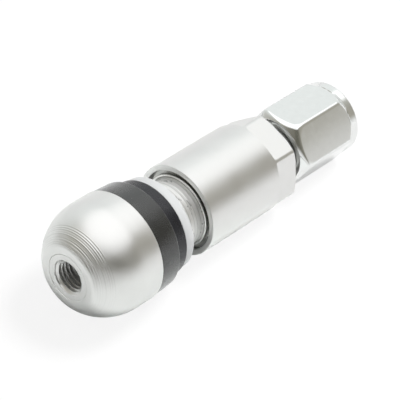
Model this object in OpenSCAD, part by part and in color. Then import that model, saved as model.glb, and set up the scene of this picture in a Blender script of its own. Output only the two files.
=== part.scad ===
// Clamp-in tyre valve with a ball head, a rubber grommet, a sleeve nut and a six-sided cap.
// The valve lies along X: its head points to -X and its cap to +X.
// X = 0 is the root of the face of the grommet's flange, which lies there when squeezed on the rim.
// Each sub-part is drawn upright about Z and then laid down along X.

/* [Head] */
// Radius of the ball head
head_r = 8.2; // [7.8:0.1:9]
// Length of the round band between the ball and the grommet
head_band = 3; // [2:0.1:3.5]
// Length of the head, from its back face to its flat end
head_len = 9.75; // [9.4:0.05:10.3]
// Outer radius of the sensor screw's thread
screw_r = 2.5; // [2:0.05:2.8]
// Depth of the threaded hole in the head
screw_depth = 8; // [5:0.5:10]
// Width of the chamfer at the mouth of the threaded hole
screw_chamfer = 0.16; // [0.1:0.02:0.6]

/* [Stem] */
// Outer radius of the shank's thread
shank_r = 5; // [4.8:0.05:5.2]
// How far the shank ends short of the nut's outer end
shank_recess = 1.2; // [0.5:0.1:4]
// Outer radius of the valve tip's thread
tip_r = 3.85; // [3.6:0.05:4.1]
// Width of the chamfer at the end of the tip
tip_chamfer = 0.45; // [0.1:0.05:0.7]
// Radius of the air passage
air_r = 1.5; // [0.8:0.1:1.8]

/* [Grommet and washer] */
// How far the grommet's flange stays inside the head's outline
flange_inset = 0.1; // [0:0.05:0.5]
// Thickness of the grommet's flange
flange_t = 3.15; // [2:0.05:5]
// How far the flange's edge stands past the root of its face, so that the edge seals first
flange_dish = 0.5; // [0.1:0.05:0.8]
// How much the flange's radius shrinks from the head to its edge
flange_draft = 0.2; // [0:0.05:0.3]
// Width of the ledge that seals on the rim, from the flange's edge to the step
ledge = 0.95; // [0.8:0.05:1.8]
// Length of the grommet's step
step_len = 2.7; // [1:0.1:4]
// Width of the bevels on the grommet's edges
grommet_bevel = 0.3; // [0.05:0.05:0.4]
// How far the washer stands out past the nut
washer_lap = 0.07; // [0:0.01:0.5]
// Thickness of the washer
washer_t = 1.52; // [0.8:0.02:3]
// Width of the bevels on the washer's edges
washer_bevel = 0.12; // [0.02:0.02:0.3]

/* [Sleeve nut] */
// Free length of shank between the washer and the nut
nut_gap = 3.95; // [3:0.05:8]
// Thickness of the nut's lip, from its mouth to its outside
nut_rim = 0.76; // [0.6:0.02:1.2]
// Overall length of the nut
nut_len = 18.1; // [14:0.1:22]
// Length of the nut's six-sided end
nut_hex_len = 4.35; // [3:0.05:7]
// Width of the nut's six-sided end across its flats
nut_af = 12; // [11.5:0.05:13]
// Length over which each flat runs out into the round
nut_runout = 0.35; // [0.05:0.05:1]
// Length of the rolled lip at the nut's mouth
nut_lip = 0.7; // [0.4:0.05:1.5]
// Width of the chamfer round the nut's outer end
nut_chamfer = 0.57; // [0.1:0.01:0.7]
// Width of the bevel round the nut's mouth end
nut_bevel = 0.08; // [0.02:0.01:0.2]
// Angle at which the nut's corners stand
nut_angle = -15; // [-30:0.5:30]

/* [Thrust ring] */
// Wall of the ring's nose, seen in the nut's mouth
nose_wall = 0.34; // [0.25:0.01:0.8]
// Gap round the ring's nose in the nut's mouth
nose_gap = 0.64; // [0.1:0.01:0.8]
// How far the nut's lip holds the ring's flange
ring_hold = 0.24; // [0.1:0.02:0.3]
// Thickness of the ring's flange
ring_flange_t = 1; // [0.5:0.1:2]

/* [Cap] */
// Distance from the nut's outer end to the cap's open end
cap_gap = 2.15; // [1:0.05:5]
// Overall length of the cap
cap_len = 12.5; // [11:0.1:16]
// Width of the cap across its flats
cap_af = 10.7; // [10.2:0.05:11.4]
// How far the cap's sharp corners are rounded off
cap_corner_cut = 0.08; // [0.02:0.01:0.3]
// How far the face at the cap's open end lies inside the flats
cap_face_inset = 0.43; // [0.1:0.01:0.7]
// Length of the chamfer at the cap's open end
cap_lead = 0.95; // [0.4:0.05:1.5]
// How far the collar at the cap's closed end stands out past the flats
collar_proud = 0.1; // [0:0.01:0.3]
// Length of the collar
collar_len = 1.45; // [0.8:0.05:3]
// Length of the slope from the cap's corners to its collar
collar_slope = 1.05; // [0.2:0.05:1.5]
// Width of the bevel round the cap's closed end
collar_bevel = 0.3; // [0.05:0.05:0.6]
// Thickness of the cap's closed end
cap_wall = 1.9; // [1:0.1:3]
// Angle at which the cap's corners stand
cap_angle = 22.5; // [0:0.5:60]
// Thickness of the rubber ring in the cap
cap_seal_t = 1.1; // [0.6:0.1:2]
// Radius of the hole in that ring
cap_seal_hole_r = 1.5; // [1:0.1:2.5]

/* [Valve core] */
// Outer radius of the core's threaded plug
plug_r = 2.6; // [2.5:0.02:2.7]
// Length of the plug below its bridge
plug_len = 3.4; // [2.5:0.1:4.5]
// Height of the bridge that a core key grips
bridge_h = 1.8; // [1:0.1:3]
// Width of the bridge
bridge_w = 1.9; // [1.5:0.05:2.2]
// Radius of the air way through the plug
plug_way_r = 1.35; // [1.2:0.05:1.6]
// How far the plug lies below the end of the tip
plug_recess = 0.9; // [0.3:0.1:2]
// Outer radius of the core's barrel
barrel_r = 1.75; // [1.7:0.02:1.84]
// Inner radius of the barrel
barrel_bore_r = 1.25; // [1.2:0.02:1.4]
// Length of the barrel
barrel_len = 9; // [6:0.1:12]
// Thickness of the lip at the barrel's inner end
barrel_lip_t = 0.6; // [0.3:0.1:1.2]
// Radius of the hole in that lip
barrel_lip_r = 0.75; // [0.7:0.01:0.8]
// How far the tapered gasket stays inside the plug's thread
gasket_inset = 0.1; // [0.04:0.02:0.2]
// Wall of the tapered gasket at its thin end
gasket_wall = 0.32; // [0.2:0.02:0.4]
// Length of the gasket
gasket_len = 2; // [1:0.1:3]
// Radius of the pin
pin_r = 0.55; // [0.45:0.01:0.6]
// How far the pin lies below the end of the tip
pin_recess = 0.2; // [0.1:0.05:0.6]
// Radius of the collar on the pin
pin_collar_r = 1.1; // [1.05:0.01:1.15]
// Thickness of the collar on the pin
pin_collar_t = 0.5; // [0.3:0.1:1]
// Radius of the pin's riveted end
rivet_r = 0.9; // [0.7:0.05:1.2]
// Thickness of the pin's riveted end
rivet_t = 0.4; // [0.2:0.05:0.8]
// Travel of the pin
pin_travel = 1.5; // [0.5:0.1:2]
// Thickness of the cup's wall and floor
cup_wall = 0.25; // [0.15:0.05:0.4]
// Thickness of the rubber ring in the cup
cup_seal_t = 0.9; // [0.5:0.1:1.5]
// Radius of the spring's wire
wire_r = 0.14; // [0.08:0.01:0.16]
// Number of turns of the spring
spring_turns = 8; // [4:1:12]

/* [Clearances] */
// Gap between pieces that slide or turn on each other
run_gap = 0.06; // [0.03:0.01:0.09]
// Gap between pieces that are fixed together
fit_gap = 0.03; // [0.01:0.01:0.05]
// Gap across a seal that is pressed on its seat
seat_gap = 0.08; // [0.03:0.01:0.2]
// Gap round the tip's thread inside the cap
cap_thread_gap = 0.1; // [0.06:0.02:0.3]

/* [Hidden] */
$fn = 96;
// Overlap of cutting shapes past the faces that they cut
past = 1;

// Places along the axis, from the head to the cap
head_back = -flange_t;
head_end = head_back - head_len;
ball_z = head_back - head_band;
screw_end = head_end + screw_depth;
washer_z = step_len + fit_gap;
nut_z = washer_z + washer_t + nut_gap;
nut_end = nut_z + nut_len;
nut_hex_z = nut_end - nut_hex_len;
shank_end = nut_end - shank_recess;
cap_z = nut_end + cap_gap;
cap_end = cap_z + cap_len;
cap_floor = cap_end - cap_wall;
cap_hex_end = cap_end - collar_len;
cap_seal_z = cap_floor - seat_gap - cap_seal_t;
tip_end = cap_seal_z - seat_gap;

// Places of the core's pieces, from the tip inwards
plug_top = tip_end - plug_recess;
plug_shoulder = plug_top - bridge_h;
plug_z = plug_shoulder - plug_len;
barrel_top = plug_z - fit_gap;
barrel_z = barrel_top - barrel_len;
spring_z = barrel_z + barrel_lip_t + seat_gap;
collar_z = barrel_top - pin_collar_t - seat_gap;
spring_top = collar_z - seat_gap;
cup_seal_z = barrel_z - seat_gap - cup_seal_t;
cup_z = cup_seal_z - fit_gap - cup_wall;
pin_z = cup_z - fit_gap - rivet_t;
pin_top = tip_end - pin_recess;
chamber_z = pin_z - pin_travel - 2 * seat_gap;

// Places of the ring in the nut's mouth
ring_flange_z = nut_z + nut_lip + run_gap;
ring_end = ring_flange_z + ring_flange_t;

// Radii of the grommet, the nut and what turns on the shank
flange_r = head_r - flange_inset;
step_r = flange_r - ledge;
shank_hole_r = shank_r + run_gap;
nose_r = shank_hole_r + nose_wall;
nut_mouth_r = nose_r + nose_gap;
ring_flange_r = nut_mouth_r + ring_hold;
recess_r = ring_flange_r + run_gap;
nut_r = nut_mouth_r + nut_rim;
washer_r = nut_r + washer_lap;

// Radii of the cap
cap_bore_r = tip_r + cap_thread_gap;
cap_corner_r = cap_af / 2 / cos(30) - cap_corner_cut;
cap_face_r = cap_af / 2 - cap_face_inset;
collar_r = cap_af / 2 + collar_proud;

// Radii of the core's pieces and of the chamber that holds them
plug_hole_r = plug_r + fit_gap;
pin_hole_r = pin_r + run_gap;
barrel_hole_r = barrel_r + fit_gap;
gasket_r = plug_r - gasket_inset;
gasket_end_r = barrel_hole_r + gasket_wall;
chamber_r = gasket_end_r + fit_gap;
cup_r = barrel_r;
cup_seal_r = cup_r - cup_wall - fit_gap;
coil_r = (pin_r + barrel_bore_r) / 2;

// The spring's wire is a ring of points carried along a helix
wire_sides = 8;
turn_steps = 16;
spring_steps = spring_turns * turn_steps;
spring_rise = spring_top - spring_z - 2 * wire_r;

// Lays an upright shape down, so that its top points to +X.
module along_x() {
    rotate([0, 90, 0]) children();
}

// A round piece, from the half section [radius, height].
module turned(section) {
    rotate_extrude() polygon(section);
}

// A round bar from one height to another.
module bar(r, from, to) {
    translate([0, 0, from]) cylinder(h = to - from, r = r);
}

// A bar that tapers from one radius and height to another.
module taper(r1, from, r2, to) {
    translate([0, 0, from]) cylinder(h = to - from, r1 = r1, r2 = r2);
}

// A six-sided bar with its corners turned to the given angle.
module six_sided(across_flats, from, to, angle) {
    rotate([0, 0, angle]) translate([0, 0, from])
        cylinder(h = to - from, r = across_flats / 2 / cos(30), $fn = 6);
}

// The ball and its round band, cut flat at the end.
module ball_head() {
    intersection() {
        translate([0, 0, ball_z]) sphere(r = head_r);
        bar(head_r + past, head_end, ball_z);
    }
    bar(head_r, ball_z, head_back);
}

// The air passage, the core's chamber and the threaded holes, as one cutting shape.
module stem_bores() {
    bar(screw_r, head_end - past, screw_end);
    taper(screw_r + screw_chamfer, head_end, screw_r, head_end + screw_chamfer);
    bar(air_r, screw_end - past, chamber_z + past);
    bar(chamber_r, chamber_z, barrel_top);
    taper(chamber_r, barrel_top - gasket_len, gasket_r + fit_gap, barrel_top);
    bar(plug_hole_r, barrel_top, tip_end + past);
}

module valve_stem() {
    color("silver") along_x() difference() {
        union() {
            ball_head();
            bar(shank_r, head_back, shank_end);
            taper(shank_r, shank_end, tip_r, shank_end + shank_r - tip_r);
            bar(tip_r, shank_end, tip_end - tip_chamfer);
            taper(tip_r, tip_end - tip_chamfer, tip_r - tip_chamfer, tip_end);
        }
        stem_bores();
    }
}

module grommet() {
    hole_r = shank_r + fit_gap;
    color([0.13, 0.13, 0.13]) along_x() turned([
        [hole_r, head_back + fit_gap],
        [flange_r, head_back + fit_gap],
        [flange_r - flange_draft, flange_dish - grommet_bevel],
        [flange_r - flange_draft - grommet_bevel, flange_dish],
        [step_r, 0],
        [step_r, step_len - grommet_bevel],
        [step_r - grommet_bevel, step_len],
        [hole_r, step_len]
    ]);
}

module washer() {
    washer_top = washer_z + washer_t;
    color("whitesmoke") along_x() turned([
        [shank_hole_r, washer_z],
        [washer_r - washer_bevel, washer_z],
        [washer_r, washer_z + washer_bevel],
        [washer_r, washer_top - washer_bevel],
        [washer_r - washer_bevel, washer_top],
        [shank_hole_r, washer_top]
    ]);
}

module thrust_ring() {
    color("gainsboro") along_x() turned([
        [shank_hole_r, nut_z],
        [nose_r, nut_z],
        [nose_r, ring_flange_z],
        [ring_flange_r, ring_flange_z],
        [ring_flange_r, ring_end],
        [shank_hole_r, ring_end]
    ]);
}

// The waste that is milled away outside one flat, with its sloping run-out.
module flat_waste() {
    flat = nut_af / 2;
    rotate([90, 0, 0]) translate([0, 0, -nut_r]) linear_extrude(2 * nut_r) polygon([
        [flat, nut_hex_z + nut_runout],
        [nut_r + past, nut_hex_z + nut_runout * (1 - (nut_r + past - flat) / (nut_r - flat))],
        [nut_r + past, nut_end + past],
        [flat, nut_end + past]
    ]);
}

module sleeve_nut() {
    color("lightgray") along_x() difference() {
        turned([
            [nut_mouth_r, nut_z],
            [nut_r - nut_bevel, nut_z],
            [nut_r, nut_z + nut_bevel],
            [nut_r, nut_end - nut_chamfer / 2],
            [nut_r - nut_chamfer, nut_end],
            [shank_hole_r, nut_end],
            [shank_hole_r, ring_end + run_gap],
            [recess_r, ring_end + run_gap],
            [recess_r, nut_z + nut_lip],
            [nut_mouth_r, nut_z + nut_lip]
        ]);
        for (side = [0 : 5])
            rotate([0, 0, nut_angle + 30 + side * 60]) flat_waste();
    }
}

module valve_cap() {
    color("gray") along_x() difference() {
        union() {
            intersection() {
                six_sided(cap_af, cap_z, cap_hex_end, cap_angle);
                turned([
                    [0, cap_z],
                    [cap_face_r, cap_z],
                    [cap_corner_r, cap_z + cap_lead],
                    [cap_corner_r, cap_hex_end - collar_slope],
                    [collar_r, cap_hex_end],
                    [0, cap_hex_end]
                ]);
            }
            turned([
                [0, cap_hex_end - collar_slope],
                [collar_r, cap_hex_end - collar_slope],
                [collar_r, cap_end - collar_bevel],
                [collar_r - collar_bevel, cap_end],
                [0, cap_end]
            ]);
        }
        bar(cap_bore_r, cap_z - past, cap_floor);
    }
}

module cap_seal() {
    color([0.2, 0.2, 0.2]) along_x() difference() {
        bar(cap_bore_r - run_gap, cap_seal_z, cap_seal_z + cap_seal_t);
        bar(cap_seal_hole_r, cap_seal_z - past, cap_seal_z + cap_seal_t + past);
    }
}

module core_plug() {
    color("goldenrod") along_x() difference() {
        union() {
            bar(plug_r, plug_z, plug_shoulder);
            intersection() {
                bar(plug_r, plug_shoulder, plug_top);
                translate([-plug_r, -bridge_w / 2, plug_shoulder])
                    cube([2 * plug_r, bridge_w, bridge_h]);
            }
        }
        bar(plug_way_r, plug_z - past, plug_shoulder);
        bar(pin_hole_r, plug_shoulder - past, plug_top + past);
    }
}

module core_barrel() {
    color("goldenrod") along_x() turned([
        [barrel_lip_r, barrel_z],
        [barrel_r, barrel_z],
        [barrel_r, barrel_top],
        [barrel_bore_r, barrel_top],
        [barrel_bore_r, barrel_z + barrel_lip_t],
        [barrel_lip_r, barrel_z + barrel_lip_t]
    ]);
}

module core_gasket() {
    color("firebrick") along_x() turned([
        [barrel_hole_r, barrel_top - gasket_len],
        [gasket_end_r, barrel_top - gasket_len],
        [gasket_r, barrel_top],
        [barrel_hole_r, barrel_top]
    ]);
}

module core_pin() {
    color("khaki") along_x() {
        bar(pin_r, pin_z, pin_top);
        bar(pin_collar_r, collar_z, collar_z + pin_collar_t);
        bar(rivet_r, pin_z, pin_z + rivet_t);
    }
}

// Centre of the wire at one step along the spring.
function wire_centre(i) =
    let (turn = 360 * i / turn_steps)
    [coil_r * cos(turn), coil_r * sin(turn), spring_z + wire_r + spring_rise * i / spring_steps];

// One point of the wire's round section at that step.
function wire_point(i, side) =
    let (turn = 360 * i / turn_steps, angle = 360 * side / wire_sides)
    wire_centre(i) + wire_r * [cos(angle) * cos(turn), cos(angle) * sin(turn), sin(angle)];

module core_spring() {
    points = [for (i = [0 : spring_steps], side = [0 : wire_sides - 1]) wire_point(i, side)];
    skin = [
        for (i = [0 : spring_steps - 1], side = [0 : wire_sides - 1])
            let (next = (side + 1) % wire_sides, here = i * wire_sides, there = here + wire_sides)
            [here + side, here + next, there + next, there + side]
    ];
    first_end = [for (side = [wire_sides - 1 : -1 : 0]) side];
    last_end = [for (side = [0 : wire_sides - 1]) spring_steps * wire_sides + side];
    color("dimgray") along_x() polyhedron(points, concat(skin, [first_end, last_end]));
}

module core_cup() {
    inner_r = cup_r - cup_wall;
    color("goldenrod") along_x() turned([
        [pin_r + fit_gap, cup_z],
        [cup_r, cup_z],
        [cup_r, cup_seal_z + cup_seal_t / 2],
        [inner_r, cup_seal_z + cup_seal_t / 2],
        [inner_r, cup_z + cup_wall],
        [pin_r + fit_gap, cup_z + cup_wall]
    ]);
}

module core_cup_seal() {
    color([0.2, 0.2, 0.2]) along_x() turned([
        [pin_r + fit_gap, cup_seal_z],
        [cup_seal_r, cup_seal_z],
        [cup_seal_r, cup_seal_z + cup_seal_t],
        [pin_r + fit_gap, cup_seal_z + cup_seal_t]
    ]);
}

valve_stem();
grommet();
washer();
thrust_ring();
sleeve_nut();
valve_cap();
cap_seal();
core_plug();
core_barrel();
core_gasket();
core_pin();
core_spring();
core_cup();
core_cup_seal();
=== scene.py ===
"""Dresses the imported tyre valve: turned stem, rubber grommet, washer, sleeve nut, plated cap and valve core.

Sizes are in millimetres and angles in degrees. Meshes are in metres, with the valve's axis along X.
"""

import logging
import math
from abc import ABC, abstractmethod
from collections.abc import Callable, Mapping, Sequence
from dataclasses import dataclass, replace
from enum import Enum
from functools import cache

import bmesh
import bpy
from bmesh.types import BMEdge, BMesh, BMVert
from mathutils import Matrix, Vector


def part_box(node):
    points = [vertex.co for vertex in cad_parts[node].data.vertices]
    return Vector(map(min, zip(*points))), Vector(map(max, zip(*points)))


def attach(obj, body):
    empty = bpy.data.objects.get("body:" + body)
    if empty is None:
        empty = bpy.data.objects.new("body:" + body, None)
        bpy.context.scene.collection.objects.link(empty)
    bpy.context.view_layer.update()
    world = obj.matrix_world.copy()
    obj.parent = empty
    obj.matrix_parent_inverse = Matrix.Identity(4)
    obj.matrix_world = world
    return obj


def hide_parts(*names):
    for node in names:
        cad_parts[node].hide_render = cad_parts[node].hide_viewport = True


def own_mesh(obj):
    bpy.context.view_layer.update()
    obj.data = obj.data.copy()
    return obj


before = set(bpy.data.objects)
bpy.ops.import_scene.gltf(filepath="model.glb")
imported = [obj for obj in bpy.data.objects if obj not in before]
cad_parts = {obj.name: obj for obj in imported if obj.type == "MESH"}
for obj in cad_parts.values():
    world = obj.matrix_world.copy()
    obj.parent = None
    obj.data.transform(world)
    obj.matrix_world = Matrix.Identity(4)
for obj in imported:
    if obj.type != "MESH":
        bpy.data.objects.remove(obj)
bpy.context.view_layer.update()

MM = 0.001
ROUND_STEPS = 160
MILLED_STEPS = 360
ROUNDING_STEPS = 4
SHARP_ANGLE = math.radians(35)
MERGE_DISTANCE = 2e-6
ORIGIN = (0, 0, 0)
AXIS = (1, 0, 0)
WHITE = (1.0, 1.0, 1.0, 1.0)
# How far the plain blank under a thread stays behind the thread's root.
THREAD_SINK = 0.05
# How far a thread's own hidden wall lies behind its root.
THREAD_WALL = 0.15

LOG = logging.getLogger("valve")

Colour = tuple[float, float, float, float]
Stretch = tuple[float, float]
Triple = tuple[float, float, float]
RadiusRule = Callable[[float, float, float], float]
Sockets = Mapping[str | int, object]


class Body(Enum):
    """The bodies of the frame that modelled pieces ride on."""

    STEM = "stem"
    NUT_RING = "nut_ring"
    NUT = "nut"
    CAP = "cap"


class Slot(Enum):
    """Names for the material slots of modelled pieces."""

    STEM_METAL = "stem_metal"
    NUT_METAL = "nut_metal"
    RING_METAL = "ring_metal"
    CAP_METAL = "cap_metal"
    GROMMET_RUBBER = "grommet_rubber"
    WASHER_PLASTIC = "washer_plastic"
    SPRING_STEEL = "spring_steel"


def operators(operation: str) -> tuple[Callable[..., "Wire"], Callable[..., "Wire"]]:
    """Makes an operator of wires from a Math node's operation.

    Args:
        operation: The Math node's operation.

    Returns:
        The operator and its reflected form.
    """
    def forward(wire: "Wire", other: "Wire | float") -> "Wire":
        """Works on this and a value."""
        return wire.graph.math(operation, wire, other)

    def reflected(wire: "Wire", other: float) -> "Wire":
        """Works on a number and this."""
        return wire.graph.math(operation, other, wire)

    return forward, reflected


@dataclass(frozen=True)
class Wire:
    """An output of a node, which Python's own operators work on."""

    graph: "Graph"
    node: bpy.types.Node
    output: str | int

    __add__, __radd__ = operators("ADD")
    __sub__, __rsub__ = operators("SUBTRACT")
    __mul__, __rmul__ = operators("MULTIPLY")
    __truediv__, __rtruediv__ = operators("DIVIDE")
    __pow__, __rpow__ = operators("POWER")


class Graph:
    """The node tree of one material or of the world."""

    def __init__(self, tree: bpy.types.NodeTree) -> None:
        """Takes over a tree and empties it."""
        self.tree = tree
        tree.nodes.clear()

    def add(
        self,
        kind: str,
        settings: Mapping[str, object] | None = None,
        sockets: Sockets | None = None,
        output: str | int = 0,
    ) -> Wire:
        """Adds a node of any type.

        Args:
            kind: The node's type.
            settings: The node's own properties, and a ramp's stops under the name stops.
            sockets: Values or wires for its inputs, by name or number.
            output: The output that is used, by name or number.

        Returns:
            That output of the new node.
        """
        node = self.tree.nodes.new(kind)
        for name, value in (settings or {}).items():
            if name == "stops":
                self.set_stops(node.color_ramp, value)
            else:
                setattr(node, name, value)
        for name, value in (sockets or {}).items():
            if isinstance(value, Wire):
                self.tree.links.new(value.node.outputs[value.output], node.inputs[name])
            else:
                node.inputs[name].default_value = value
        return Wire(self, node, output)

    @staticmethod
    def set_stops(ramp: bpy.types.ColorRamp, stops: Sequence[tuple[float, Colour]]) -> None:
        """Gives a colour ramp its stops.

        Args:
            ramp: The ramp to fill.
            stops: Pairs of a place from 0 to 1 and a colour.
        """
        while len(ramp.elements) < len(stops):
            ramp.elements.new(1.0)
        for element, (place, colour) in zip(ramp.elements, stops):
            element.position = place
            element.color = colour

    def math(self, operation: str, *values: Wire | float) -> Wire:
        """Adds a Math node with its inputs in order."""
        return self.add("ShaderNodeMath", {"operation": operation}, dict(enumerate(values)))

    def place(self) -> Wire:
        """Gives the object coordinates of a point on the surface."""
        return self.add("ShaderNodeTexCoord", output="Object")

    def place_parts(self) -> list[Wire]:
        """Gives the object coordinates of a point on the surface as X, Y and Z."""
        place = self.place()
        return [self.add("ShaderNodeSeparateXYZ", sockets={"Vector": place}, output=part) for part in "XYZ"]

    def noise(self, size: float, detail: float = 2.0, place: Wire | None = None) -> Wire:
        """Adds a random pattern from 0 to 1, with features of a size in millimetres and finer layers."""
        sockets = {"Vector": place or self.place(), "Scale": 1 / (size * MM), "Detail": detail}
        return self.add("ShaderNodeTexNoise", {"normalize": True}, sockets)

    def step(self, value: Wire, stretch: Stretch) -> Wire:
        """Rises smoothly from 0 at the start of a stretch to 1 at its end."""
        sockets = {"Value": value, "From Min": stretch[0], "From Max": stretch[1]}
        return self.add("ShaderNodeMapRange", {"interpolation_type": "SMOOTHSTEP"}, sockets)

    def step_over(self, value: Wire, stretch: Stretch) -> Wire:
        """Rises smoothly from 0 to 1 as a length in metres passes a stretch in millimetres."""
        return self.step(value, (stretch[0] * MM, stretch[1] * MM))

    def between(self, value: Wire, stretch: Stretch, edge: float) -> Wire:
        """Gives 1 where a length in metres is in a stretch in millimetres, with soft edges just inside it."""
        start, end = stretch
        return self.step_over(value, (start, start + edge)) * (1.0 - self.step_over(value, (end - edge, end)))

    def blend(self, factor: Wire, first: Colour | Wire, second: Colour | Wire) -> Wire:
        """Mixes two colours, from the first at 0 to the second at 1."""
        # The node's colour sockets share their names with its other sockets, so they go by number.
        return self.add("ShaderNodeMix", {"data_type": "RGBA"}, {0: factor, 6: first, 7: second}, 2)

    def mix(self, factor: Wire, first: Wire, second: Wire) -> Wire:
        """Mixes two shaders, from the first at 0 to the second at 1."""
        return self.add("ShaderNodeMixShader", sockets={0: factor, 1: first, 2: second})

    def bump(self, height: Wire) -> Wire:
        """Bends the normal by a height in metres."""
        return self.add("ShaderNodeBump", sockets={"Height": height, "Strength": 1.0, "Distance": 1.0})

    def camera_ray(self) -> Wire:
        """Gives 1 to rays from the camera, and 0 to other rays."""
        return self.add("ShaderNodeLightPath", output="Is Camera Ray")

    def mirror_ray(self) -> Wire:
        """Gives 1 to rays from mirrors and glass, and 0 to other rays."""
        kinds = ("Is Glossy Ray", "Is Transmission Ray")
        return self.math("MAXIMUM", *(self.add("ShaderNodeLightPath", output=kind) for kind in kinds))


def painted(name: str, surface: Callable[[Graph], Wire]) -> bpy.types.Material:
    """Makes a material.

    Args:
        name: The material's name.
        surface: Adds the material's nodes to a graph and gives its shader.

    Returns:
        The material.
    """
    made = bpy.data.materials.new(name)
    made.use_nodes = True
    graph = Graph(made.node_tree)
    graph.add("ShaderNodeOutputMaterial", sockets={"Surface": surface(graph)})
    return made


@dataclass(frozen=True)
class Finish(ABC):
    """A surface finish with patches of a second colour, which makes its own material."""

    name: str
    tint: Colour
    patch_tint: Colour
    roughness: float

    @abstractmethod
    def sockets(self, graph: Graph) -> Sockets:
        """Gives the values and wires of the surface shader's inputs."""

    def shader(self, graph: Graph) -> Wire:
        """Adds the surface shader."""
        return graph.add("ShaderNodeBsdfPrincipled", sockets=self.sockets(graph))

    @cache
    def material(self) -> bpy.types.Material:
        """Makes the finish's material once, for all the pieces that carry it."""
        return painted(self.name, self.shader)


@dataclass(frozen=True)
class TurnedSkin:
    """A turned surface: where its points lie, and the look that one layer after another changes."""

    graph: Graph
    x: Wire
    z: Wire
    radius: Wire
    section: Wire
    colour: Wire
    roughness: Wire
    height: Wire


class Layer(ABC):
    """Something that work or wear has left on a turned surface."""

    @abstractmethod
    def lay(self, skin: TurnedSkin) -> TurnedSkin:
        """Adds the layer to a surface and gives the surface with it."""


class Feed(Enum):
    """The way that a turning tool was fed."""

    ALONG = "along the axis"
    ACROSS = "across the axis"


@dataclass(frozen=True)
class ToolMarks(Layer):
    """Rings that the tool has left, with painted shade on their crests; on the lower side, rings and shade
    fade to a share of themselves.
    """

    feed: Feed
    stretch: Stretch
    pitch: float
    depth: float
    painted_crest_shade: float
    share_left: float = 1.0
    rubbed: Stretch = (0.4, 3.4)
    edge: float = 0.05
    wander: float = 6.0
    painted_crest_shade_span: Stretch = (0.4, 1.0)
    # Colour of the painted shade on the crests.
    tint: Colour = (0.3, 0.3, 0.29, 1.0)

    def lay(self, skin: TurnedSkin) -> TurnedSkin:
        """Cuts wandering rings and paints shade on their crests.

        Args:
            skin: The surface without the rings.

        Returns:
            The surface with the rings.
        """
        graph = skin.graph
        place = skin.x if self.feed is Feed.ALONG else skin.radius
        inside = graph.between(place, self.stretch, self.edge)
        # The rings and their painted crest shade fade on the lower side, where bright light washes them out.
        if self.share_left < 1.0:
            kept = graph.step_over(skin.z, self.rubbed)
            inside = inside * (self.share_left + kept * (1.0 - self.share_left))
        wander = graph.noise(self.pitch * 2, 1.0, skin.section) * self.wander
        wave = graph.math("SINE", place * (math.tau / (self.pitch * MM)) + wander)
        # Painted shade: the crests are darkened in colour, standing in for dark reflections in the rings.
        painted_crest_shade = graph.step(wave, self.painted_crest_shade_span) * inside * self.painted_crest_shade
        height = skin.height + wave * inside * (self.depth * MM)
        return replace(skin, colour=graph.blend(painted_crest_shade, skin.colour, self.tint), height=height)


@dataclass(frozen=True)
class PaintedMouthShade(Layer):
    """Painted shade in a mouth, in a stretch of the axis and nearer to the axis than a radius."""

    stretch: Stretch
    radius: float
    edge: float = 0.3
    rim: float = 0.1
    # Colour of the painted shade.
    tint: Colour = (0.45, 0.45, 0.435, 1.0)

    def lay(self, skin: TurnedSkin) -> TurnedSkin:
        """Paints shade into the mouth.

        Args:
            skin: The surface without the shade.

        Returns:
            The surface with the painted shade.
        """
        graph = skin.graph
        # Painted shade: the colour darkens inside the mouth, where shade falls.
        deep = graph.between(skin.x, self.stretch, self.edge)
        inner = 1.0 - graph.step_over(skin.radius, (self.radius - self.rim, self.radius))
        return replace(skin, colour=graph.blend(deep * inner, skin.colour, self.tint))


@dataclass(frozen=True)
class Scuffs(Layer):
    """A stretch of the axis that is rubbed pale, with a few short dark strokes."""

    stretch: Stretch
    edge: float = 0.2
    wear: float = 0.2
    rubbed: Colour = (0.9, 0.9, 0.888, 1.0)
    rubbed_share: float = 0.8
    stroke_size: float = 0.5
    stroke_slant_radians: Triple = (0.6, 0.3, 0.8)
    stroke_scale: Triple = (1.0, 0.3, 1.0)
    stroke_edge: Stretch = (0.63, 0.68)
    stroke_share: float = 0.7
    tint: Colour = (0.26, 0.26, 0.27, 1.0)

    def lay(self, skin: TurnedSkin) -> TurnedSkin:
        """Rubs the stretch and draws slanted strokes on it.

        Args:
            skin: The unworn surface.

        Returns:
            The worn surface.
        """
        graph = skin.graph
        worn = graph.between(skin.x, self.stretch, self.edge)
        pale = graph.blend(worn * self.rubbed_share, skin.colour, self.rubbed)
        sockets = {"Vector": graph.place(), "Rotation": self.stroke_slant_radians, "Scale": self.stroke_scale}
        slanted = graph.add("ShaderNodeMapping", sockets=sockets)
        strokes = graph.step(graph.noise(self.stroke_size, 3.0, slanted), self.stroke_edge)
        colour = graph.blend(worn * strokes * self.stroke_share, pale, self.tint)
        return replace(skin, colour=colour, roughness=skin.roughness + worn * self.wear)


@dataclass(frozen=True)
class TurnedMetal(Finish):
    """Metal from the lathe, with fine rings about the axis and a cloudy satin sheen."""

    layers: tuple[Layer, ...] = ()
    ring_pitch: float = 0.25
    ring_depth: float = 0.0006
    ring_share: float = 0.08
    cloud_size: float = 2.6
    cloud_share: float = 0.16

    def sockets(self, graph: Graph) -> Sockets:
        """Gives the inputs of a turned metal with its layers.

        Args:
            graph: The material's node tree.

        Returns:
            The inputs by name.
        """
        x, y, z = graph.place_parts()
        radius = (y * y + z * z) ** 0.5
        section = graph.add("ShaderNodeCombineXYZ", sockets={"X": x, "Y": radius})
        rings = graph.noise(self.ring_pitch, 2.0, section)
        cloud = graph.noise(self.cloud_size, 3.0)
        colour = graph.blend(cloud, self.patch_tint, self.tint)
        roughness = self.roughness + (cloud - 0.5) * self.cloud_share + (rings - 0.5) * self.ring_share
        height = rings * (self.ring_depth * MM)
        skin = TurnedSkin(graph, x, z, radius, section, colour, roughness, height)
        for layer in self.layers:
            skin = layer.lay(skin)
        return {
            "Base Color": skin.colour,
            "Metallic": 1.0,
            "Roughness": skin.roughness,
            "Normal": graph.bump(skin.height),
        }


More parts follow.
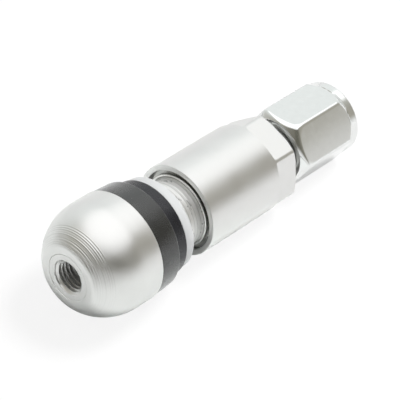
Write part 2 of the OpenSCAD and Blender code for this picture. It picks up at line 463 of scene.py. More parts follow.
@dataclass(frozen=True)
class PlatedMetal(Finish):
    """Bright plated metal with a soft wave in its mirror and faint rubbing marks."""

    wave_size: float = 3.2
    wave_depth: float = 0.006
    haze_size: float = 0.9
    haze_depth: float = 0.0004
    haze_edge: Stretch = (0.45, 0.75)
    haze_share: float = 0.06

    def sockets(self, graph: Graph) -> Sockets:
        """Gives the inputs of a plated metal.

        Args:
            graph: The material's node tree.

        Returns:
            The inputs by name.
        """
        wave = graph.noise(self.wave_size, 1.0)
        haze = graph.noise(self.haze_size, 4.0)
        return {
            "Base Color": graph.blend(haze, self.patch_tint, self.tint),
            "Metallic": 1.0,
            "Roughness": self.roughness + graph.step(haze, self.haze_edge) * self.haze_share,
            "Normal": graph.bump(wave * (self.wave_depth * MM) + haze * (self.haze_depth * MM)),
        }


@dataclass(frozen=True)
class MouldedRubber(Finish):
    """Black rubber with a fine moulded skin, patches of grey bloom and specks, darker past a stretch."""

    gloss: float = 0.0
    dust: float = 0.0
    dust_roughness: float = 0.45
    dark_over: Stretch | None = None
    dark: Colour = (0.008, 0.0085, 0.012, 1.0)
    skin_size: float = 0.12
    skin_depth: float = 0.0008
    skin_share: float = 0.1
    patch_size: float = 3.0
    patch_edge: Stretch = (0.4, 0.8)
    patch_share: float = 0.16
    speck_size: float = 0.22
    speck_edge: Stretch = (0.86, 0.9)
    speck_share: float = 0.3
    speck_tint: Colour = (0.4, 0.4, 0.39, 1.0)

    def sockets(self, graph: Graph) -> Sockets:
        """Gives the inputs of a moulded rubber.

        Args:
            graph: The material's node tree.

        Returns:
            The inputs by name.
        """
        skin = graph.noise(self.skin_size, 3.0)
        patches = graph.noise(self.patch_size, 3.0)
        specks = graph.step(graph.noise(self.speck_size, 0.0), self.speck_edge)
        colour = graph.blend(graph.step(patches, self.patch_edge), self.tint, self.patch_tint)
        coat = self.gloss
        if self.dark_over:
            stretched = graph.step_over(graph.place_parts()[0], self.dark_over)
            colour = graph.blend(stretched, colour, self.dark)
            coat = (1.0 - stretched) * self.gloss
        uneven = (patches - 0.5) * self.patch_share + (skin - 0.5) * self.skin_share
        return {
            "Base Color": graph.blend(specks * self.speck_share, colour, self.speck_tint),
            "Roughness": self.roughness + uneven,
            "Coat Weight": coat,
            "Coat Roughness": self.roughness,
            "Sheen Weight": self.dust,
            "Sheen Roughness": self.dust_roughness,
            "Normal": graph.bump(skin * (self.skin_depth * MM)),
        }


@dataclass(frozen=True)
class SatinPlastic(Finish):
    """Pale plastic with a faint mottle and a fine grain."""

    mottle_size: float = 1.4
    mottle_share: float = 0.12
    grain_size: float = 0.1
    grain_depth: float = 0.002

    def sockets(self, graph: Graph) -> Sockets:
        """Gives the inputs of a satin plastic.

        Args:
            graph: The material's node tree.

        Returns:
            The inputs by name.
        """
        mottle = graph.noise(self.mottle_size, 3.0)
        grain = graph.noise(self.grain_size, 2.0)
        return {
            "Base Color": graph.blend(mottle, self.patch_tint, self.tint),
            "Roughness": self.roughness + (mottle - 0.5) * self.mottle_share,
            "Normal": graph.bump(grain * (self.grain_depth * MM)),
        }


STEM_LAYERS = (
    Scuffs((4.3, 9.0)),
    # Each ring's fifth number is the painted shade on its crests, its sixth the share left on the lower side.
    ToolMarks(Feed.ACROSS, (4.75, 5.7), 0.26, 0.013, 0.2, 0.25),
    ToolMarks(Feed.ACROSS, (5.85, 6.1), 0.25, 0.016, 0.2, 0.25),
    ToolMarks(Feed.ACROSS, (6.2, 6.8), 0.2, 0.009, 0.15, 0.25),
    ToolMarks(Feed.ALONG, (4.3, 9.2), 0.6, 0.008, 0.3),
)
# Painted shade in the mouths of the nut and of its ring.
NUT_LAYERS = (PaintedMouthShade((8.3, 20.0), 6.45),)
RING_LAYERS = (PaintedMouthShade((8.35, 12.0), 7.0),)

STEM_FINISH = TurnedMetal("satin_stem", (0.8, 0.8, 0.788, 1.0), (0.72, 0.72, 0.708, 1.0), 0.34, STEM_LAYERS)
NUT_FINISH = TurnedMetal("satin_nut", (0.8, 0.8, 0.788, 1.0), (0.73, 0.73, 0.718, 1.0), 0.34, NUT_LAYERS)
RING_FINISH = TurnedMetal("bright_ring", (0.82, 0.82, 0.8, 1.0), (0.74, 0.74, 0.72, 1.0), 0.24, RING_LAYERS)
CAP_FINISH = PlatedMetal("bright_plate", (0.86, 0.87, 0.86, 1.0), (0.80, 0.81, 0.80, 1.0), 0.1)
GROMMET_FINISH = MouldedRubber(
    "dusty_rubber",
    (0.006, 0.0066, 0.0062, 1.0),
    (0.016, 0.0175, 0.0164, 1.0),
    0.27,
    gloss=0.8,
    dust=0.02,
    dark_over=(0.55, 0.7),
)
SEAL_FINISH = MouldedRubber("dark_rubber", (0.018, 0.018, 0.018, 1.0), (0.03, 0.03, 0.03, 1.0), 0.6)
WASHER_FINISH = SatinPlastic("pale_plastic", (0.73, 0.742, 0.742, 1.0), (0.67, 0.684, 0.684, 1.0), 0.42)
GASKET_FINISH = SatinPlastic("red_polymer", (0.42, 0.05, 0.04, 1.0), (0.32, 0.03, 0.03, 1.0), 0.4)
BRASS_FINISH = TurnedMetal("turned_brass", (0.82, 0.63, 0.30, 1.0), (0.72, 0.52, 0.23, 1.0), 0.26)
SPRING_FINISH = TurnedMetal("spring_wire", (0.60, 0.60, 0.61, 1.0), (0.48, 0.48, 0.50, 1.0), 0.3)


@dataclass(frozen=True)
class Corner:
    """A corner of a turned outline: its place, its radius, its rounding and the cuts up to the next one."""

    x: float
    r: float
    rounding: float = 0.0
    cuts: int = 0

    def steps_to(self, other: "Corner") -> list["Corner"]:
        """Gives this corner and the evenly spaced cuts that follow it.

        Args:
            other: The next corner.

        Returns:
            The corners short of the next one.
        """
        shares = [i / (self.cuts + 1) for i in range(1, self.cuts + 1)]
        along, out = other.x - self.x, other.r - self.r
        return [self, *(Corner(self.x + along * share, self.r + out * share) for share in shares)]


@dataclass(frozen=True)
class Span:
    """The stretch of the axis that a node of the frame takes, and the radius that fits in its box."""

    start: float
    end: float
    radius: float

    @classmethod
    def of(cls, node: str) -> "Span":
        """Reads the span of one node from the frame."""
        low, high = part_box(node)
        return cls(low.x / MM, high.x / MM, min(high.y, high.z) / MM)


def arc(centre: float, radius: float, start: float, end: float, count: int) -> list[Corner]:
    """Gives the corners of an arc about a point of the axis, with angles from the axis towards the head."""
    angles = [math.radians(start + (end - start) * i / (count - 1)) for i in range(count)]
    return [Corner(centre - radius * math.cos(a), radius * math.sin(a)) for a in angles]


def spin(bm: BMesh, turns: int, steps: int, rise: float = 0.0, closed: bool = False) -> None:
    """Sweeps all that a shape holds about the axis.

    Args:
        bm: The shape to sweep.
        turns: Number of turns.
        steps: Number of steps in all.
        rise: Distance along the axis of one step, in metres.
        closed: Whether the last step joins the first one.
    """
    bmesh.ops.spin(
        bm,
        geom=bm.verts[:] + bm.edges[:] + bm.faces[:],
        cent=ORIGIN,
        axis=AXIS,
        dvec=(rise, 0, 0),
        angle=math.tau * turns,
        steps=steps,
        use_merge=closed,
    )


def turned(outline: Sequence[Corner], steps: int = ROUND_STEPS) -> BMesh:
    """Turns an outline about the axis.

    Args:
        outline: Corners of the half section. It is closed unless it starts and ends on the axis.
        steps: Number of steps round the axis.

    Returns:
        The turned shape.
    """
    corners = [step for one, two in zip(outline, [*outline[1:], outline[0]]) for step in one.steps_to(two)]
    bm = bmesh.new()
    verts = [bm.verts.new((corner.x * MM, 0.0, -corner.r * MM)) for corner in corners]
    closed = corners[0].r or corners[-1].r
    for pair in zip(verts, [*verts[1:], verts[0]] if closed else verts[1:]):
        bm.edges.new(pair)
    for rounding in sorted({corner.rounding for corner in corners if corner.rounding}):
        bmesh.ops.bevel(
            bm,
            geom=[v for v, corner in zip(verts, corners) if corner.rounding == rounding],
            offset=rounding * MM,
            segments=ROUNDING_STEPS,
            profile=0.5,
            affect="VERTICES",
            material=-1,
        )
    spin(bm, 1, steps, closed=True)
    bmesh.ops.remove_doubles(bm, verts=bm.verts[:], dist=MERGE_DISTANCE)
    return bm


def reshape(bm: BMesh, rule: RadiusRule) -> None:
    """Moves each vertex straight in or out from the axis.

    Args:
        bm: The shape to change.
        rule: Gives a new radius from a place along the axis, an angle in degrees and the old radius.
    """
    for v in bm.verts:
        r = math.hypot(v.co.y, v.co.z)
        if r < MERGE_DISTANCE:
            continue
        angle = math.degrees(math.atan2(v.co.y, -v.co.z))
        scale = rule(v.co.x / MM, angle, r / MM) * MM / r
        v.co.y *= scale
        v.co.z *= scale


def extruded(bm: BMesh, edges: Sequence[BMEdge]) -> list[BMVert]:
    """Extrudes edges and gives the new vertices, which still lie on the old ones."""
    made = bmesh.ops.extrude_edge_only(bm, edges=edges)["geom"]
    return [item for item in made if isinstance(item, BMVert)]


def soft_min(first: float, second: float, blend: float) -> float:
    """Gives the smaller of two values, with a round transition where they come as close as the blend."""
    near = max(blend - abs(first - second), 0.0) / blend
    return min(first, second) - near * near * blend / 4


@dataclass(frozen=True)
class Hexagon:
    """A six-sided section with rounded corners, turned so that one corner stands at an angle."""

    across_flats: float
    angle: float
    rounding: float

    def radius(self, angle: float) -> float:
        """Gives the distance from the axis to the section's edge.

        Args:
            angle: Direction from the axis.

        Returns:
            The distance in that direction.
        """
        from_corner = abs(math.radians((angle - self.angle + 30) % 60 - 30))
        half_side = math.pi / 6
        flat = self.across_flats / 2
        centre = (flat - self.rounding) / math.cos(half_side)
        tangent = math.atan2(centre * math.sin(half_side), flat)
        if half_side - from_corner <= tangent:
            return flat / math.cos(half_side - from_corner)
        aside = centre * math.sin(from_corner)
        return centre * math.cos(from_corner) + math.sqrt(self.rounding ** 2 - aside ** 2)


@dataclass(frozen=True)
class ScrewThread:
    """A helical thread between two radii, closed at its ends and along a wall that is hidden in the metal."""

    start: float
    end: float
    pitch: float
    crest: float
    root: float
    steps: int = 48

    def add_to(self, bm: BMesh, rule: RadiusRule) -> None:
        """Adds the thread to a shape as one more closed shell.

        Args:
            bm: The shape that carries the thread.
            rule: Trims the thread, as on a chamfered end.
        """
        thread = self.helix()
        self.trim(thread)
        reshape(thread, rule)
        self.close(thread)
        mesh = bpy.data.meshes.new("thread")
        thread.to_mesh(mesh)
        thread.free()
        bm.from_mesh(mesh)
        bpy.data.meshes.remove(mesh)

    def helix(self) -> BMesh:
        """Winds the thread's section about the axis, from two turns before the thread to past its end.

        Returns:
            The helix, open at its ends and towards the metal.
        """
        # Shares of the pitch: a flat of an eighth on the crest, and one of a quarter in the root.
        shares = (0.0, 0.125, 0.4375, 0.5625, 0.875, 1.0)
        radii = (self.root, self.root, self.crest, self.crest, self.root, self.root)
        first = self.start - 2 * self.pitch
        bm = bmesh.new()
        places = [(first + share * self.pitch) * MM for share in shares]
        verts = [bm.verts.new((x, 0.0, -r * MM)) for x, r in zip(places, radii)]
        for pair in zip(verts, verts[1:]):
            bm.edges.new(pair)
        turns = math.ceil((self.end - self.start) / self.pitch) + 3
        spin(bm, turns, self.steps * turns, self.pitch * MM / self.steps)
        bmesh.ops.remove_doubles(bm, verts=bm.verts[:], dist=MERGE_DISTANCE)
        return bm

    def trim(self, bm: BMesh) -> None:
        """Cuts both ends of the helix off square.

        Args:
            bm: The helix.
        """
        for place, side in ((self.start, -1), (self.end, 1)):
            bmesh.ops.bisect_plane(
                bm,
                geom=bm.verts[:] + bm.edges[:] + bm.faces[:],
                dist=MERGE_DISTANCE,
                plane_co=(place * MM, 0, 0),
                plane_no=(side, 0, 0),
                clear_outer=True,
            )

    def close(self, bm: BMesh) -> None:
        """Closes the ends and runs a plain wall between them inside the metal.

        Args:
            bm: The trimmed helix.
        """
        wall = self.root - math.copysign(THREAD_WALL, self.crest - self.root)
        for v in extruded(bm, [edge for edge in bm.edges if edge.is_boundary]):
            scale = wall * MM / math.hypot(v.co.y, v.co.z)
            v.co.y *= scale
            v.co.z *= scale
        bmesh.ops.bridge_loops(bm, edges=[edge for edge in bm.edges if edge.is_boundary])


def placed(bm: BMesh, name: str, material: bpy.types.Material) -> bpy.types.Object:
    """Turns a shape into an object of the scene.

    Args:
        bm: The shape, which is used up.
        name: The object's name.
        material: Its material.

    Returns:
        The object.
    """
    mesh = bpy.data.meshes.new(name)
    bm.to_mesh(mesh)
    bm.free()
    mesh.materials.append(material)
    made = bpy.data.objects.new(name, mesh)
    bpy.context.scene.collection.objects.link(made)
    return made


class SubAssembly(ABC):
    """A group of pieces that is built and dressed together."""

    @abstractmethod
    def build(self) -> None:
        """Builds and dresses the group's pieces."""

    def piece(self, bm: BMesh, node: str, body: Body, slot: Slot, finish: Finish) -> bpy.types.Object:
        """Turns a shape into a finished piece that stands for a node of the frame.

        Args:
            bm: The shape, which is used up.
            node: The node that the piece stands for.
            body: The body that it rides on.
            slot: The material slot that it would take; not used.
            finish: Its surface finish.

        Returns:
            The piece.
        """
        bmesh.ops.recalc_face_normals(bm, faces=bm.faces[:])
        for face in bm.faces:
            face.smooth = True
        for edge in bm.edges:
            edge.smooth = edge.calc_face_angle(0.0) < SHARP_ANGLE
        made = placed(bm, f"{node}_dressed", finish.material())
        even = made.modifiers.new("even_normals", "WEIGHTED_NORMAL")
        even.keep_sharp = True
        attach(made, body.value)
        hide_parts(node)
        LOG.info("%s: %d faces on %s, in %s", made.name, len(made.data.polygons), body.value, finish.name)
        return made

    def dress(self, node: str, finish: Finish) -> None:
        """Gives a node that keeps its own shape a finish.

        Args:
            node: The node of the frame.
            finish: Its surface finish.
        """
        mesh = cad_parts[node].data
        mesh.materials.clear()
        mesh.materials.append(finish.material())
        LOG.info("%s: kept, in %s", node, finish.name)


@dataclass
class ValveStem(SubAssembly):
    """The turned stem: ball head with a threaded hole, threaded shank, threaded tip and the core's bores."""

    ball_centre: float = -6.15
    ball_steps: int = 28
    band_end: float = -3.15
    back_rounding: float = 0.12
    end_rounding: float = 0.35
    screw_root: float = 2.5
    screw_crest: float = 2.14
    screw_pitch: float = 0.65
    screw_depth: float = 8.0
    mouth_radius: float = 2.66
    face_sink: float = 0.05
    lip_radius: float = 3.45
    lip_rounding: float = 0.03
    shank_radius: float = 5.0
    shank_root: float = 4.45
    shank_pitch: float = 1.0
    shank_thread_start: float = 9.6
    shank_run_out: float = 0.5
    shank_rounding: float = 0.1
    shank_end: float = 25.1
    tip_radius: float = 3.85
    tip_root: float = 3.42
    tip_pitch: float = 0.794
    tip_chamfer: float = 0.45
    tip_rounding: float = 0.05
    tip_thread_gaps: tuple[float, float] = (0.2, 0.1)
    plug_hole_radius: float = 2.63
    plug_hole_lead: float = 0.2
    gasket_seat_radius: float = 2.53
    chamber_start: float = 19.31
    chamber_radius: float = 2.13
    air_radius: float = 1.5

    def build(self) -> None:
        """Builds the stem with its three threads."""
        span = Span.of("valve_stem")
        bm = turned(self.outline(span, Span.of("core_gasket")))
        start, end = span.start + 2 * self.face_sink, span.start + self.screw_depth
        screw = ScrewThread(start, end, self.screw_pitch, self.screw_crest, self.screw_root)
        screw.add_to(bm, lambda x, _, r: max(r, span.start + self.mouth_radius - x))
        start, end = self.shank_thread_start, self.shank_end
        shank = ScrewThread(start, end, self.shank_pitch, self.shank_radius, self.shank_root)
        shank.add_to(bm, self.shank_leads)
        start = self.shank_end + self.shank_radius - self.tip_root + self.tip_thread_gaps[0]
        end = span.end - self.tip_thread_gaps[1]
        tip = ScrewThread(start, end, self.tip_pitch, self.tip_radius, self.tip_root)
        tip.add_to(bm, lambda x, _, r: min(r, span.end + self.tip_radius - self.tip_chamfer - x))
        self.piece(bm, "valve_stem", Body.STEM, Slot.STEM_METAL, STEM_FINISH)

    def shank_leads(self, x: float, _: float, r: float) -> float:
        """Trims the shank's thread, which rises over its first turn and ends in a cone."""
        rise = (x - self.shank_thread_start) / self.shank_pitch * (self.shank_radius - self.shank_root)
        return min(r, self.shank_root + max(min(rise, self.shank_end - x), 0))

    def outline(self, span: Span, gasket: Span) -> list[Corner]:
        """Gives the stem's half section, from the hole's mouth over the outside and back through the bores.

        Args:
            span: The stem's span.
            gasket: The span of the core's gasket, which seats in the bore.

        Returns:
            The corners in order.
        """
        bore = self.screw_root + THREAD_SINK
        core = self.shank_root - THREAD_SINK
        neck = self.tip_root - THREAD_SINK
        face = span.start + self.face_sink
        screw_end = span.start + self.screw_depth
        flat = math.degrees(math.acos((self.ball_centre - span.start) / span.radius))
        ball = arc(self.ball_centre, span.radius, flat, 90, self.ball_steps)
        return [
            Corner(face, bore, self.lip_rounding),
            Corner(face, self.lip_radius - self.face_sink),
            Corner(face + self.face_sink, self.lip_radius),
            Corner(span.start, self.lip_radius + self.face_sink, self.lip_rounding),
            replace(ball[0], rounding=self.end_rounding),
            *ball[2:],
            Corner(self.band_end, span.radius, self.back_rounding),
            Corner(self.band_end, self.shank_radius),
            Corner(self.shank_thread_start - self.shank_run_out, self.shank_radius, self.shank_rounding),
            Corner(self.shank_thread_start, core),
            Corner(self.shank_end, core),
            Corner(self.shank_end + core - neck, neck),
            Corner(span.end, neck, self.tip_rounding),
            Corner(span.end, self.plug_hole_radius + self.plug_hole_lead),
            Corner(span.end - self.plug_hole_lead, self.plug_hole_radius),
            Corner(gasket.end, self.plug_hole_radius),
            Corner(gasket.end, self.gasket_seat_radius),
            Corner(gasket.start, self.chamber_radius),
            Corner(self.chamber_start, self.chamber_radius),
            Corner(self.chamber_start, self.air_radius),
            Corner(screw_end, self.air_radius),
            Corner(screw_end, bore),
        ]


@dataclass
class Grommet(SubAssembly):
    """The moulded rubber seal: a broad flange and a step that fills the rim's hole."""

    ledge: float = 0.95
    hole_radius: float = 5.03
    dish: float = 0.5
    draft: float = 0.2
    back_rounding: float = 0.14
    edge_rounding: float = 0.32
    ledge_rounding: float = 0.1
    step_rounding: float = 0.3

    def build(self) -> None:
        """Builds the grommet."""
        span = Span.of("grommet")
        step_radius = span.radius - self.ledge
        bm = turned([
            Corner(span.start, self.hole_radius),
            Corner(span.start, span.radius, self.back_rounding),
            Corner(self.dish, span.radius - self.draft, self.edge_rounding),
            Corner(0.0, step_radius, self.ledge_rounding),
            Corner(span.end, step_radius, self.step_rounding),
            Corner(span.end, self.hole_radius),
        ])
        self.piece(bm, "grommet", Body.STEM, Slot.GROMMET_RUBBER, GROMMET_FINISH)


@dataclass
class Washer(SubAssembly):
    """The plastic washer that the nut presses on the rim."""

    radius: float = 6.87
    hole_radius: float = 5.06
    edge_rounding: float = 0.16
    hole_rounding: float = 0.08

    def build(self) -> None:
        """Builds the washer."""
        span = Span.of("washer")
        bm = turned([
            Corner(span.start, self.hole_radius, self.hole_rounding),
            Corner(span.start, self.radius, self.edge_rounding),
            Corner(span.end, self.radius, self.edge_rounding),
            Corner(span.end, self.hole_radius, self.hole_rounding),
        ])
        self.piece(bm, "washer", Body.STEM, Slot.WASHER_PLASTIC, WASHER_FINISH)


@dataclass
class SleeveNut(SubAssembly):
    """The sleeve nut with its six-sided end, and the thrust ring that it holds in its mouth."""

    radius: float = 6.8
    mouth_radius: float = 6.04
    mouth_rounding: float = 0.1
    lip: float = 0.7
    lip_rounding: float = 0.05
    recess_radius: float = 6.34
    recess_room: float = 0.1
    bore_radius: float = 5.06
    thread_root: float = 5.5
    thread_pitch: float = 1.0
    flats: Hexagon = Hexagon(12.0, -15.0, 0.02)
    flat_length: float = 4.35
    flat_blend: float = 0.04
    run_out: float = 0.35
    end_chamfer: float = 0.57
    end_rounding: float = 0.06
    nose_radius: float = 5.4
    nose_rounding: float = 0.12
    ring_flange_radius: float = 6.28
    ring_flange_length: float = 1.0
    ring_bore_rounding: float = 0.1

    def build(self) -> None:
        """Builds the nut and its ring."""
        self.build_nut()
        self.build_ring()

    def build_nut(self) -> None:
        """Builds the nut and mills its flats."""
        span = Span.of("sleeve_nut")
        blank = self.thread_root + THREAD_SINK
        recess_end = Span.of("thrust_ring").end + self.recess_room
        flat_start = span.end - self.flat_length
        bm = turned([
            Corner(span.start, self.mouth_radius, self.lip_rounding),
            Corner(span.start, self.radius, self.mouth_rounding),
            Corner(flat_start, self.radius, cuts=4),
            Corner(flat_start + self.run_out, self.radius, cuts=12),
            Corner(span.end - self.end_chamfer / 2, self.radius, cuts=5),
            Corner(span.end, self.radius - self.end_chamfer, self.end_rounding),
            Corner(span.end, blank),
            Corner(recess_end, blank),
            Corner(recess_end, self.recess_radius),
            Corner(span.start + self.lip, self.recess_radius),
            Corner(span.start + self.lip, self.mouth_radius),
        ], MILLED_STEPS)
        reshape(bm, lambda x, angle, r: self.milled(x - flat_start, angle, r))
        thread = ScrewThread(recess_end, span.end, self.thread_pitch, self.bore_radius, self.thread_root)
        thread.add_to(bm, lambda x, _, r: max(r, self.thread_root - span.end + x))
        self.piece(bm, "sleeve_nut", Body.NUT, Slot.NUT_METAL, NUT_FINISH)

    def milled(self, along: float, angle: float, r: float) -> float:
        """Gives the radius that the milling of the flats leaves.

        Args:
            along: Distance past the start of the flats.
            angle: Direction from the axis.
            r: Radius before milling.

        Returns:
            The radius after milling.
        """
        if along < 0 or r < self.mouth_radius:
            return r
        slope = max(self.run_out - along, 0) * (self.radius - self.flats.across_flats / 2) / self.run_out
        return soft_min(r, self.flats.radius(angle) + slope, self.flat_blend)

    def build_ring(self) -> None:
        """Builds the thrust ring."""
        span = Span.of("thrust_ring")
        shoulder = span.end - self.ring_flange_length
        bm = turned([
            Corner(span.start, self.bore_radius, self.ring_bore_rounding),
            Corner(span.start, self.nose_radius, self.nose_rounding),
            Corner(shoulder, self.nose_radius),
            Corner(shoulder, self.ring_flange_radius),
            Corner(span.end, self.ring_flange_radius),
            Corner(span.end, self.bore_radius),
        ])
        self.piece(bm, "thrust_ring", Body.NUT_RING, Slot.RING_METAL, RING_FINISH)


@dataclass
class ValveCap(SubAssembly):
    """The plated cap: rounded six-sided body, chamfered mouth, round collar and an inner thread."""

    body: Hexagon = Hexagon(10.7, 22.5, 0.5)
    corner_radius: float = 6.1
    face_radius: float = 4.92
    face_rounding: float = 0.1
    inside_margin: float = 0.2
    lead: float = 0.95
    collar_radius: float = 5.45
    collar_length: float = 1.45
    collar_slope: float = 1.05
    collar_margin: float = 0.01
    crown: float = 0.06
    end_rounding: float = 0.3
    edge_blend: float = 0.4
    edge_blend_fade: Stretch = (0.76, 1.9)
    corner_blend: float = 0.15
    bore_radius: float = 3.95
    floor_gap: float = 0.08
    thread_root: float = 4.35
    thread_pitch: float = 0.794
    thread_gaps: tuple[float, float] = (0.05, 0.5)

    def build(self) -> None:
        """Builds the cap and dresses the rubber ring inside it."""
        span = Span.of("valve_cap")
        seal = Span.of("cap_seal")
        blank = self.thread_root + THREAD_SINK
        floor = seal.end + self.floor_gap
        thread_end = seal.start - self.thread_gaps[1]
        collar = span.end - self.collar_length
        bm = turned([
            Corner(floor, 0.0),
            Corner(floor, self.bore_radius),
            Corner(thread_end, self.bore_radius),
            Corner(thread_end, blank),
            Corner(span.start, blank),
            Corner(span.start, self.face_radius, self.face_rounding, cuts=12),
            Corner(span.start + self.lead, self.corner_radius, cuts=40),
            Corner(collar - self.collar_slope, self.corner_radius, cuts=24),
            Corner(collar, self.collar_radius, cuts=4),
            Corner(span.end, self.collar_radius, self.end_rounding),
            Corner(span.end, 0.0),
        ], MILLED_STEPS)
        flats_end = collar - self.collar_margin
        reshape(bm, lambda x, angle, r: r if x > flats_end else self.skin(x - span.start, angle, r))
        thread_start = span.start + self.thread_gaps[0]
        thread = ScrewThread(thread_start, thread_end, self.thread_pitch, self.bore_radius, self.thread_root)
        thread.add_to(bm, lambda x, _, r: max(r, self.thread_root - x + span.start))
        self.piece(bm, "valve_cap", Body.CAP, Slot.CAP_METAL, CAP_FINISH)
        self.dress("cap_seal", SEAL_FINISH)

    def skin(self, along: float, angle: float, r: float) -> float:
        """Gives the radius of the cap's outside, short of the collar.

        Args:
            along: Distance from the cap's mouth.
            angle: Direction from the axis.
            r: Radius of the turned blank.

        Returns:
            The radius with the six flats.
        """
        if r < self.face_radius - self.inside_margin:
            return r
        off_middle = ((angle - self.body.angle) % 60 - 30) / 30
        fade_start, fade_end = self.edge_blend_fade
        kept = min(max((fade_end - along) / (fade_end - fade_start), 0.0), 1.0)
        blend = self.corner_blend + self.edge_blend * kept
        return soft_min(r, self.body.radius(angle) - self.crown * off_middle ** 2, blend)


@dataclass
class ValveCore(SubAssembly):
    """The valve core: threaded plug with its bridge, barrel, gasket, sprung pin, cup and seals."""

    wire_radius: float = 0.14
    wire_sides: int = 12
    coil_radius: float = 0.9
    coil_turns: int = 8
    coil_steps: int = 32
    pin_travel: float = 1.5

    def build(self) -> None:
        """Dresses the core's pieces and winds its spring."""
        for node in ("core_plug", "core_barrel", "core_pin", "core_cup"):
            self.dress(node, BRASS_FINISH)
        self.dress("core_gasket", GASKET_FINISH)
        self.dress("core_cup_seal", SEAL_FINISH)
        self.wind_spring()

    def wind_spring(self) -> None:
        """Winds the spring about the pin."""
        span = Span.of("core_spring")
        length = span.end - span.start
        bm = bmesh.new()
        wire = bmesh.ops.create_circle(bm, segments=self.wire_sides, radius=self.wire_radius * MM)["verts"]
        bmesh.ops.rotate(bm, verts=wire, cent=ORIGIN, matrix=Matrix.Rotation(math.pi / 2, 3, "X"))
        start = Vector((span.start + self.wire_radius, 0, -self.coil_radius)) * MM
        bmesh.ops.translate(bm, verts=wire, vec=start)
        bmesh.ops.contextual_create(bm, geom=wire)
        steps = self.coil_steps * self.coil_turns
        spin(bm, self.coil_turns, steps, (length - 2 * self.wire_radius) * MM / steps)
        spring = self.piece(bm, "core_spring", Body.STEM, Slot.SPRING_STEEL, SPRING_FINISH)
        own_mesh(spring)


@dataclass(frozen=True)
class PhotoCamera:
    """The camera at the photograph's place, turned about the valve's axis with the valve at rest."""

    azimuth: float = -47.8
    elevation: float = 34.2
    rest_roll: float = -13.0
    distance: float = 320.45
    aim: Triple = (12.61, -0.4, -0.24)
    lens: float = 209.3
    sensor: float = 36.0
    clip: Stretch = (10.0, 20000.0)

    def place(self) -> None:
        """Makes the camera and gives it to the scene."""
        made = bpy.data.objects.new("photo_camera", bpy.data.cameras.new("photo_camera"))
        made.data.lens = self.lens
        made.data.sensor_width = self.sensor
        made.data.clip_start, made.data.clip_end = (distance * MM for distance in self.clip)
        made.matrix_world = (
            Matrix.Translation(Vector(self.aim) * MM)
            @ Matrix.Rotation(math.radians(self.rest_roll), 4, "X")
            @ Matrix.Rotation(math.radians(self.azimuth), 4, "Z")
            @ Matrix.Rotation(math.radians(90 - self.elevation), 4, "X")
            @ Matrix.Translation((0, 0, self.distance * MM))
        )
        bpy.context.scene.collection.objects.link(made)
        bpy.context.scene.camera = made


class LampUse(Enum):
    """What a lamp is there for."""

    LIGHT = "light on the floor and the rubber"
    SHINE = "shine in the metal"


@dataclass(frozen=True)
class SoftLamp:
    """A round lamp that faces down."""

    name: str
    use: LampUse
    place: Triple
    size: float
    power: float

    def hang(self) -> None:
        """Makes the lamp."""
        lamp = bpy.data.lights.new(self.name, "AREA")
        lamp.shape = "DISK"
        lamp.size = self.size * MM
        lamp.energy = self.power
        made = bpy.data.objects.new(self.name, lamp)
        made.location = Vector(self.place) * MM
        made.visible_diffuse = self.use is LampUse.LIGHT
        made.visible_glossy = self.use is LampUse.SHINE
        bpy.context.scene.collection.objects.link(made)


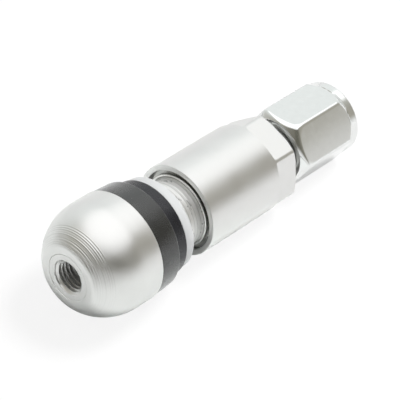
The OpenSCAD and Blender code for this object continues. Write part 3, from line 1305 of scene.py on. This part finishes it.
@dataclass
class Studio:
    """A white floor, a grey surround that is darker on the camera's side, and two soft lamps."""

    floor_size: float = 6000.0
    floor_cells: int = 8
    floor_touch: tuple[float, float] = (-0.3, -8.1)
    floor_slope: float = 0.0583
    floor_colour: Colour = (0.78, 0.78, 0.78, 1.0)
    mirrored_colour: Colour = (0.945, 0.965, 0.955, 1.0)
    mirrored_far: Colour = (0.32, 0.32, 0.305, 1.0)
    mirrored_edge: Stretch = (-150.0, -30.0)
    lit_colour: Colour = (0.55, 0.55, 0.55, 1.0)
    lit_glow: float = 0.36
    lit_edge: Stretch = (12.0, 32.0)
    shown_colour: Colour = (0.17, 0.17, 0.17, 1.0)
    shown_glow: float = 0.85
    shadow_fade: Stretch = (40.0, 120.0)
    surround_radius: float = 1000.0
    surround_height: float = 1030.0
    surround_sides: int = 96
    surround_fade: Stretch = (50.0, 400.0)
    surround_dark_side: float = -40.0
    surround_stops: tuple[tuple[float, Colour], ...] = (
        (0.0, (0.94, 0.97, 0.965, 1.0)),
        (0.12, (0.88, 0.91, 0.9, 1.0)),
        (0.28, (0.58, 0.58, 0.545, 1.0)),
        (0.45, (0.41, 0.395, 0.35, 1.0)),
        (0.56, (0.4, 0.383, 0.333, 1.0)),
        (0.75, (0.26, 0.25, 0.215, 1.0)),
        (0.9, (0.2, 0.193, 0.16, 1.0)),
        (1.0, (0.14, 0.135, 0.11, 1.0)),
    )
    surround_foot: Colour = (0.9, 0.9, 0.9, 1.0)
    foot_power: float = 4.0
    foot_least: float = 0.05
    right_side: Stretch = (0.0, 800.0)
    right_lowering: float = 0.2
    key: SoftLamp = SoftLamp("key_lamp", LampUse.LIGHT, (310.0, -105.0, 650.0), 320.0, 5.07)
    shine: SoftLamp = SoftLamp("shine_lamp", LampUse.SHINE, (130.0, 190.0, 620.0), 1120.0, 1.15)
    ambient: float = 0.34

    def build(self) -> None:
        """Sets up the floor, the surround, the lamps and the world."""
        bpy.context.scene.view_settings.view_transform = "Standard"
        self.lay_floor()
        self.stand_surround()
        self.key.hang()
        self.shine.hang()
        self.fill_world()

    def lay_floor(self) -> None:
        """Lays the floor against the grommet's edge and the nut, which the valve lies on."""
        bm = bmesh.new()
        cells, half = self.floor_cells, self.floor_size * MM / 2
        made = bmesh.ops.create_grid(bm, x_segments=cells, y_segments=cells, size=half)["verts"]
        tilt = Matrix.Rotation(-math.atan(self.floor_slope), 3, "Y")
        bmesh.ops.rotate(bm, verts=made, cent=ORIGIN, matrix=tilt)
        x, z = self.floor_touch
        bmesh.ops.translate(bm, verts=made, vec=Vector((x, 0, z)) * MM)
        placed(bm, "floor", painted("white_floor", self.floor_shader))

    def floor_shader(self, graph: Graph) -> Wire:
        """Gives the floor one look in the camera, one in mirrors and one for the light that it sends back.

        Args:
            graph: The floor's node tree.

        Returns:
            The shader.
        """
        x, y, _ = graph.place_parts()
        far_to_near = graph.blend(
            graph.step_over(x, self.mirrored_edge), self.mirrored_far, self.mirrored_colour
        )
        mirrored = graph.mix(
            graph.step_over(x, self.lit_edge),
            self.floor_look(graph, far_to_near, 0.0),
            self.floor_look(graph, self.lit_colour, self.lit_glow),
        )
        shown = graph.mix(
            graph.step_over((x * x + y * y) ** 0.5, self.shadow_fade),
            self.floor_look(graph, self.shown_colour, self.shown_glow),
            graph.add("ShaderNodeEmission", sockets={"Color": WHITE, "Strength": 1.0}),
        )
        matt = self.floor_look(graph, self.floor_colour, 0.0)
        return graph.mix(graph.camera_ray(), graph.mix(graph.mirror_ray(), matt, mirrored), shown)

    def floor_look(self, graph: Graph, colour: Colour | Wire, glow: float) -> Wire:
        """Adds one look of the floor.

        Args:
            graph: The floor's node tree.
            colour: Colour of the matt floor, which takes the shadow.
            glow: Light that it gives of itself.

        Returns:
            The shader.
        """
        matt = graph.add("ShaderNodeBsdfDiffuse", sockets={"Color": colour})
        light = graph.add("ShaderNodeEmission", sockets={"Color": WHITE, "Strength": glow})
        return graph.add("ShaderNodeAddShader", sockets={0: matt, 1: light})

    def stand_surround(self) -> None:
        """Stands a round grey wall about the valve, which only the metal's mirrors see."""
        bm = bmesh.new()
        bmesh.ops.create_circle(bm, segments=self.surround_sides, radius=self.surround_radius * MM)
        top = extruded(bm, bm.edges[:])
        bmesh.ops.translate(bm, verts=top, vec=(0, 0, self.surround_height * MM))
        wall = placed(bm, "surround", painted("grey_surround", self.surround_shader))
        wall.visible_camera = False
        wall.visible_diffuse = False

    def surround_shader(self, graph: Graph) -> Wire:
        """Shades the wall from side to side, over a foot that is pale on the dark side and the right.

        Args:
            graph: The wall's node tree.

        Returns:
            The shader.
        """
        x, y, z = graph.place_parts()
        side = math.radians(self.surround_dark_side)
        facing = (x * math.sin(side) - y * math.cos(side)) * (0.5 / (self.surround_radius * MM)) + 0.5
        wall = graph.add("ShaderNodeValToRGB", {"stops": self.surround_stops}, {"Fac": facing})
        right = graph.step_over(x, self.right_side)
        foot = graph.math("MINIMUM", facing ** self.foot_power + right + self.foot_least, 1.0)
        height = graph.step_over(z * (1.0 + right * self.right_lowering) / foot, self.surround_fade)
        shade = graph.blend(height, self.surround_foot, wall)
        return graph.add("ShaderNodeEmission", sockets={"Color": shade, "Strength": 1.0})

    def fill_world(self) -> None:
        """Fills the world with soft light, which shows as white."""
        world = bpy.data.worlds.new("studio")
        world.use_nodes = True
        bpy.context.scene.world = world
        graph = Graph(world.node_tree)
        soft, shown = (
            graph.add("ShaderNodeBackground", sockets={"Color": WHITE, "Strength": strength})
            for strength in (self.ambient, 1.0)
        )
        seen = graph.camera_ray() + graph.mirror_ray()
        graph.add("ShaderNodeOutputWorld", sockets={"Surface": graph.mix(seen, soft, shown)})


def main() -> None:
    """Builds the studio and the valve, from the head to the cap."""
    logging.basicConfig(level=logging.INFO, format="%(message)s")
    PhotoCamera().place()
    Studio().build()
    for group in (ValveStem(), Grommet(), Washer(), SleeveNut(), ValveCap(), ValveCore()):
        group.build()


if __name__ == "__main__":
    main()
